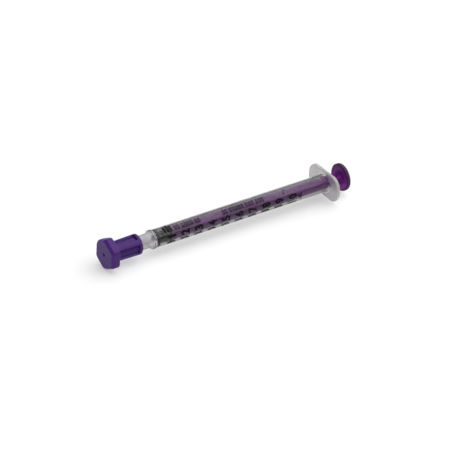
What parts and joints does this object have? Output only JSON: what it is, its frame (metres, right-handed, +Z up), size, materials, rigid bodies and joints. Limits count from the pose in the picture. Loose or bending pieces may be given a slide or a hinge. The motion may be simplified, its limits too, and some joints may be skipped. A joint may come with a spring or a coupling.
{
  "type": "oral syringe",
  "caption": "Slim oral dosing syringe with a clear barrel, printed scale, finger flange, sliding plunger with rubber stopper, and a push-on tip cap.",
  "frame": {"origin": "on the barrel's axis at the front end of its bore, where the dose reads zero", "axes": "+X along the barrel from the tip to the thumb rest, +Y along the finger flange's wings, +Z up with the flange's flat side down"},
  "size_m": [0.0992, 0.0168, 0.0116],
  "materials": {
    "clear_barrel": "clear, slightly milky polypropylene",
    "stopper_rubber": "satin dark grey rubber",
    "purple_rod": "semi-gloss moulded plastic",
    "purple_cap": "satin moulded plastic",
    "black_ink": "printed ink"
  },
  "bodies": {
    "barrel": {"barrel": "clear_barrel", "scale_long_lines": "black_ink", "scale_short_lines": "black_ink", "scale_numerals": "black_ink", "unit_mark": "black_ink", "front_print_blocks": "black_ink", "rear_print_blocks": "black_ink", "print_dots": "black_ink"},
    "stopper": {"stopper": "stopper_rubber"},
    "plunger_rod": {"plunger_rod": "purple_rod"},
    "tip_cap": {"tip_cap": "purple_cap"}
  },
  "joints": [
    {"name": "plunger_slide", "type": "slide", "parent": "barrel", "child": "stopper", "axis": [1, 0, 0], "range_m": [0, 0.062]},
    {"name": "rod_spin", "type": "hinge", "parent": "stopper", "child": "plunger_rod", "pos_m": [0, 0, 0], "axis": [1, 0, 0], "continuous": true},
    {"name": "cap_pull", "type": "slide", "parent": "barrel", "child": "tip_cap", "axis": [-1, 0, 0], "range_m": [0, 0.03]}
  ]
}
